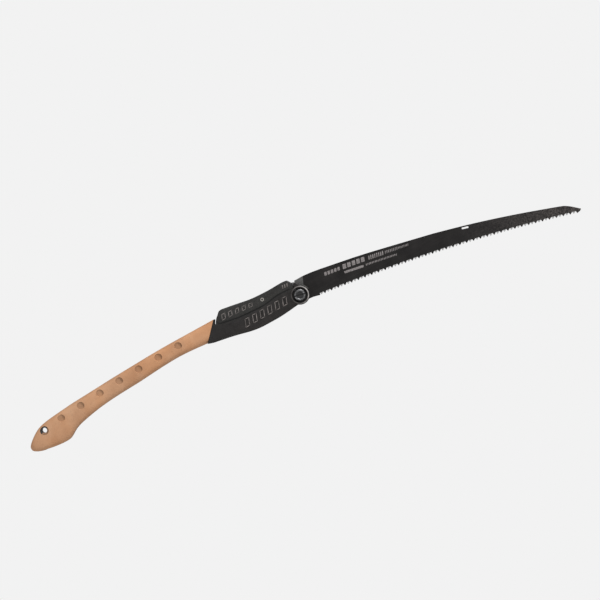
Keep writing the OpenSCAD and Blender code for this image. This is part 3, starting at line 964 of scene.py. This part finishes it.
def mirrored(thing, name):
    """A copy on the other side of the plane Y = 0."""
    mesh = thing.data.copy()
    mesh.name = name
    mesh.transform(Matrix.Scale(-1, 4, (0, 1, 0)))
    mesh.flip_normals()
    other = bpy.data.objects.new(name, mesh)
    bpy.context.scene.collection.objects.link(other)
    return other


cover = build_cover()
other_cover = mirrored(cover, "cover_shell_right")
finish_piece(cover, COVER_BLACK, "handle", "cover_plastic", "cover_left")
finish_piece(other_cover, COVER_BLACK, "handle", "cover_plastic", "cover_right")


# -------------------------------- lock lever

def parallelogram(centre, width, height, lean, slope=0.0):
    """A slanted four-sided outline about a centre (x, z)."""
    x, z = centre
    turn = Matrix.Rotation(slope, 2)
    corners = [(-1, -1), (1, -1), (1, 1), (-1, 1)]
    made = [turn @ Vector((a * width / 2 + b * lean / 2, b * height / 2)) for a, b in corners]
    return [(x + p.x, z + p.y) for p in made]


def lever_cutters(outer):
    """The shapes that take the hollow under the lever and the mouths of its pin hole out of it."""
    run = run_off(cut_loops("lever_cap", 0.0)[0], outer)
    if run[0][0] > run[-1][0]:
        run = run[::-1]
    behind, ahead, below = run[0][0] - 20 * MM, run[-1][0] + 40 * MM, min(p[1] for p in run) - 30 * MM
    hollow = run + [(ahead, run[-1][1]), (ahead, below), (behind, below), (behind, run[0][1])]
    return [
        slab("hollow", counterclockwise(hollow), [(0, -4.0 * MM), (0, 4.0 * MM)]),
        turned("pin_hole", LEVER_AXIS, both_sides([(2.9, 10.0), (2.9, 8.7), (2.56, 8.35)]), 64),
    ]


def build_lever():
    """The rocker along the top, with raised bars and three small ribs near its nose on each side."""
    rough = cut_loops("lever_cap", -6.6 * MM)[0]
    outline = smoothed(rough, 1.2 * MM, corner=30, passes=2)
    body = slab("lever_body", outline, round_edge(-LEVER_FACE, LEVER_FACE, 1.5 * MM, 1.5 * MM))
    carved(body, lever_cutters(rough))
    bars = []
    for side in (-1, 1):
        foot, top = side * 8.0 * MM, side * LEVER_TOP
        for loop in cut_loops("lever_cap", side * (LEVER_FACE + LEVER_TOP) / 2):
            bars.append(raised_bar(loop, foot, top))
        for k in range(3):
            spot = LEVER_AXIS + Vector((30.5 + 3.1 * k, 0, 1.9 - 0.25 * k)) * MM
            rib = parallelogram((spot.x, spot.z), 1.5 * MM, 4.2 * MM, 1.3 * MM)
            bars.append(raised_bar(rib, foot, top, dished=False))
    return joined("lever_rocker", [body, *bars])


def build_axle():
    """The lever's axle: a steel pin with chamfered, hollow ends."""
    low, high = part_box("lever_pin")
    outer = (high.x - low.x) / 2
    inner, chamfer = 0.42 * outer, 0.25 * MM
    floor = high.y - 1.6 * MM
    end = [
        (0.001 * MM, floor), (inner, floor), (inner, high.y - 0.1 * MM), (inner + 0.1 * MM, high.y),
        (outer - chamfer, high.y), (outer, high.y - chamfer),
    ]
    profile = end + [(r, low.y + high.y - y) for r, y in reversed(end)]
    return turned("lever_axle", LEVER_AXIS, profile, 64)


finish_piece(build_lever(), LEVER_BLACK, "lock_lever", "lever_plastic", "lever_cap")
finish_piece(build_axle(), AXLE_STEEL, "handle", "pin_steel", "lever_pin")


# -------------------------------- blade

BLADE_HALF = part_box("blade")[1].y


def blade_path(outline):
    """The outline's points, each with whether it is a tooth's tip, and more points along its long curves."""
    n = len(outline)
    turns = [turn_at(outline[i - 1], outline[i], outline[(i + 1) % n]) for i in range(n)]
    path = []
    for i in range(n):
        a, b, c, d = (outline[k % n] for k in (i - 1, i, i + 1, i + 2))
        following = turns[(i + 1) % n]
        path.append((b, turns[i] > 50 and max(turns[i - 1], following) < -40))
        if max(abs(turns[i]), abs(following)) < 12 and math.dist(b, c) > 2 * MM:
            count = round(math.dist(b, c) / (1.5 * MM))
            path += [(spline_point(a, b, c, d, k / count), False) for k in range(1, count)]
    return path


def build_blade():
    """The blade and its outline's points. The teeth are ground from the two sides in turn: a bevel runs down
    to a tip that is set over to the other side."""
    loops = cut_loops("blade", 0.0)
    path = blade_path(loops[0])
    points = [p for p, _ in path]
    n = len(path)
    edge = BLADE_HALF - 0.12 * MM
    base, near, far, bevels = [], [], [], []
    from_near = False
    for i, (p, tip) in enumerate(path):
        foot, near_y, far_y = p, -edge, edge
        if tip:
            before, after = points[i - 1], points[(i + 1) % n]
            foot = (before[0] + after[0]) / 2, (before[1] + after[1]) / 2 - 0.3 * MM
            from_near = not from_near
            near_y, far_y = (0.3 * edge, edge) if from_near else (-edge, -0.3 * edge)
            row = (1 if from_near else 3) * n
            bevels += [row + (i - 1) % n, row + i]
        base.append(foot)
        near.append((p[0], near_y, p[1]))
        far.append((p[0], far_y, p[1]))

    def flat(loop, y):
        return [(x, y, z) for x, z in loop]

    rim = inset(base, 0.12 * MM)
    bm = bmesh.new()
    half = BLADE_HALF
    bridge(bm, [flat(rim, -half), flat(base, -edge), near, far, flat(base, edge), flat(rim, half)])
    faces = bm.faces[:]
    for k in bevels:
        faces[k].material_index = 1
    blade = new_object("blade_plate", bm, 20)
    blade.data.materials.append(COATING)
    blade.data.materials.append(BEVEL_STEEL)
    holes = [slab("hole", loop, [(0, -3 * MM), (0, 3 * MM)]) for loop in loops[1:]]
    return carved(blade, holes, 20), points


blade, blade_outline = build_blade()
finish_piece(blade, COATING, "saw_blade", "blade_steel", "blade")


# The print's groups of bars, in millimetres: first and last x past the print's start, the bars' width, pitch
# and height, and how far the group lies below the first row's line
PRINT_START, PRINT_END = PIVOT.x + 40 * MM, PIVOT.x + 153.5 * MM
PRINT_GROUPS = [
    (0.0, 22.0, 3.2, 4.4, 4.6, 0.0),
    (25.0, 56.5, 4.6, 6.2, 6.0, -0.3),
    (59.5, 80.0, 1.5, 2.6, 5.4, 0.2),
    (81.5, 98.0, 1.1, 2.2, 4.2, 0.3),
    (99.0, 113.0, 0.9, 1.8, 3.2, 0.3),
    (23.5, 49.5, 26.0, 30.0, 2.9, 7.6),
    (52.5, 95.0, 1.1, 2.0, 2.9, 7.6),
]


def print_bar(x, width, height, drop):
    """One printed bar that follows the blade's back, centred at x. The widest one is upright."""
    share = (x - PRINT_START) / (PRINT_END - PRINT_START)
    z = top_of(blade_outline, x) - (8.3 - 4.0 * share + drop) * MM
    rise = top_of(blade_outline, x + 5 * MM) - top_of(blade_outline, x - 5 * MM)
    lean = 0.9 * MM if width < 20 else 0.0
    shape = parallelogram((x, z), width * MM, height * MM, lean, math.atan2(rise, 10 * MM))
    level = -BLADE_HALF - 0.03 * MM
    profile = [(0.06 * MM, level), (0, level + 0.015 * MM), (0, -BLADE_HALF + 0.1 * MM)]
    return slab("bar", smoothed(shape, 0.8 * MM, passes=1), profile)


def build_print():
    """Plain bars in two rows where the blade carries its print: no letters and no marks."""
    bars = []
    for first, last, width, pitch, height, drop in PRINT_GROUPS:
        x = first
        while x + width <= last + 0.5:
            bars.append(print_bar(PRINT_START + (x + width / 2) * MM, width, height, drop))
            x += pitch
    return joined("blade_print_bars", bars)


finish_piece(build_print(), INK, "saw_blade", "blade_steel")


# -------------------------------- pivot

THREAD = 4.0


def build_screw():
    """The slotted pivot screw, its head at -Y: a dished face inside a rounded rim, on a thinner shank."""
    face, tail = BOLT_FACE / MM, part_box("pivot_bolt")[1].y / MM
    head = [
        (0.001, face - 0.45), (4.6, face - 0.45), (5.0, face - 0.38), (5.35, face - 0.08), (5.6, face),
        (6.5, face), (6.9, face - 0.12), (7.25, face - 0.4), (7.45, face - 0.85), (7.5, face - 1.3),
        (7.5, RECESS_FLOOR + 0.2), (7.2, RECESS_FLOOR), (THREAD, RECESS_FLOOR),
    ]
    shank = [(THREAD, tail - 0.5), (THREAD - 0.5, tail), (0.001, tail)]
    screw = turned("pivot_screw", PIVOT, near_side(head) + [(r * MM, y * MM) for r, y in shank], 96)
    slot = parallelogram((PIVOT.x, PIVOT.z), 22 * MM, 1.7 * MM, 0.0, math.radians(-12))
    return carved(screw, [slab("slot", slot, [(0, -(face + 1) * MM), (0, -(face - 1.35) * MM)])])


def build_nut():
    """The hexagonal nut on the +Y side."""
    low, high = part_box("pivot_nut")
    hexagon = [(x, z) for x, _, z in circle(PIVOT, (high.x - low.x) / 2, 0, 6)]
    profile = [(0.0, low.y), (0.0, high.y - 0.45 * MM), (0.22 * MM, high.y - 0.12 * MM), (0.5 * MM, high.y)]
    nut = slab("pivot_hex_nut", smoothed(hexagon, 1.2 * MM, passes=1), profile)
    thread = THREAD * MM
    bore = [(thread, low.y - 1 * MM), (thread, high.y - 0.3 * MM), (thread + 0.5 * MM, high.y + 0.2 * MM)]
    return carved(nut, [turned("bore", PIVOT, bore, 48)])


finish_piece(build_screw(), BOLT_STEEL, "handle", "bolt_steel", "pivot_bolt")
finish_piece(build_nut(), BOLT_STEEL, "handle", "bolt_steel", "pivot_nut")

# The CAD nodes whose shape is right keep it
repaint(FRAME_STEEL, "frame_plate_left", "frame_plate_right", "lock_latch")
repaint(ALUMINIUM, "spacer_rear", "spacer_front")
repaint(PIN_STEEL, "frame_rivets", "stop_pin", "rest_pin", "latch_pin", "lever_spring")
repaint(BRASS, "pivot_bushing", "washer_left", "washer_right")
repaint(RUBBER, "rest_sleeve")


# -------------------------------- stage, light and camera

CENTRE = (Vector(cad_box[0]) + Vector(cad_box[1])) / 2
# The picture's right and up: the saw rises to the right
ROLL = math.radians(27.92)
RIGHT = Vector((math.cos(ROLL), 0, -math.sin(ROLL)))
UP = Vector((math.sin(ROLL), 0, math.cos(ROLL)))


def build_floor():
    """A pale round floor well below the saw, fading out towards its rim."""
    middle, radius, sides = Vector((CENTRE.x, 0, CENTRE.z - 0.7)), 0.9, 72
    rings = []
    for k in range(1, 13):
        flat = circle(Vector((middle.x, 0, 0)), radius * k / 12, 0, sides)
        rings.append([(x, y, middle.z) for x, _, y in flat])
    bm = bmesh.new()
    rows = bridge(bm, rings, closed_ends=False)
    bm.faces.new(rows[0])
    floor = new_object("floor", bm)
    s = Shader("pale_floor", (0.8, 0.8, 0.8), 0.9)
    s.color(s.ramp(s.noise(3, 3), (0.3, 0.86), (0.7, 0.9)))
    s.links.new(s.span(s.distance_to(middle), 0.35, 0.88, 1.0, 0.0), s.bsdf.inputs["Alpha"])
    floor.data.materials.append(s.material)


def build_world(shown, ambient):
    """A plain backdrop of one brightness, and a softer sky for light."""
    world = bpy.data.worlds.new("studio")
    world.use_nodes = True
    tree = world.node_tree
    tree.nodes.clear()
    out = tree.nodes.new("ShaderNodeOutputWorld")
    mix = tree.nodes.new("ShaderNodeMixShader")
    path = tree.nodes.new("ShaderNodeLightPath")
    for place, level in ((1, ambient), (2, shown)):
        background = tree.nodes.new("ShaderNodeBackground")
        background.inputs["Color"].default_value = (level, level, level, 1)
        tree.links.new(background.outputs[0], mix.inputs[place])
    tree.links.new(path.outputs["Is Camera Ray"], mix.inputs[0])
    tree.links.new(mix.outputs[0], out.inputs["Surface"])
    bpy.context.scene.world = world


def area_light(name, offset, size, watts):
    """A soft square lamp at an offset from the saw's middle, given as right, up and near in the picture."""
    data = bpy.data.lights.new(name, "AREA")
    data.energy = watts
    data.size = size
    lamp = bpy.data.objects.new(name, data)
    lamp.location = CENTRE + RIGHT * offset[0] + UP * offset[1] + Vector((0, -1, 0)) * offset[2]
    lamp.rotation_mode = "QUATERNION"
    lamp.rotation_quaternion = (CENTRE - lamp.location).to_track_quat("-Z", "Y")
    bpy.context.scene.collection.objects.link(lamp)


def build_camera():
    """Square on to the blade, with a long lens."""
    data = bpy.data.cameras.new("camera")
    data.lens = 140
    data.sensor_width = 36
    camera = bpy.data.objects.new("camera", data)
    place = CENTRE + Vector((10.2, 0, 15.6)) * MM
    place.y = -2.984
    turn = Matrix((RIGHT, UP, RIGHT.cross(UP))).transposed()
    camera.matrix_world = Matrix.Translation(place) @ turn.to_4x4()
    bpy.context.scene.collection.objects.link(camera)
    bpy.context.scene.camera = camera


build_floor()
build_world(0.888, 0.46)
area_light("key", (0.35, 1.45, 0.95), 0.6, 36)
area_light("fill", (-1.3, -0.7, 1.5), 1.4, 16)
area_light("back", (0.2, 0.6, -1.8), 1.4, 18)
build_camera()
bpy.context.scene.view_settings.view_transform = "Standard"
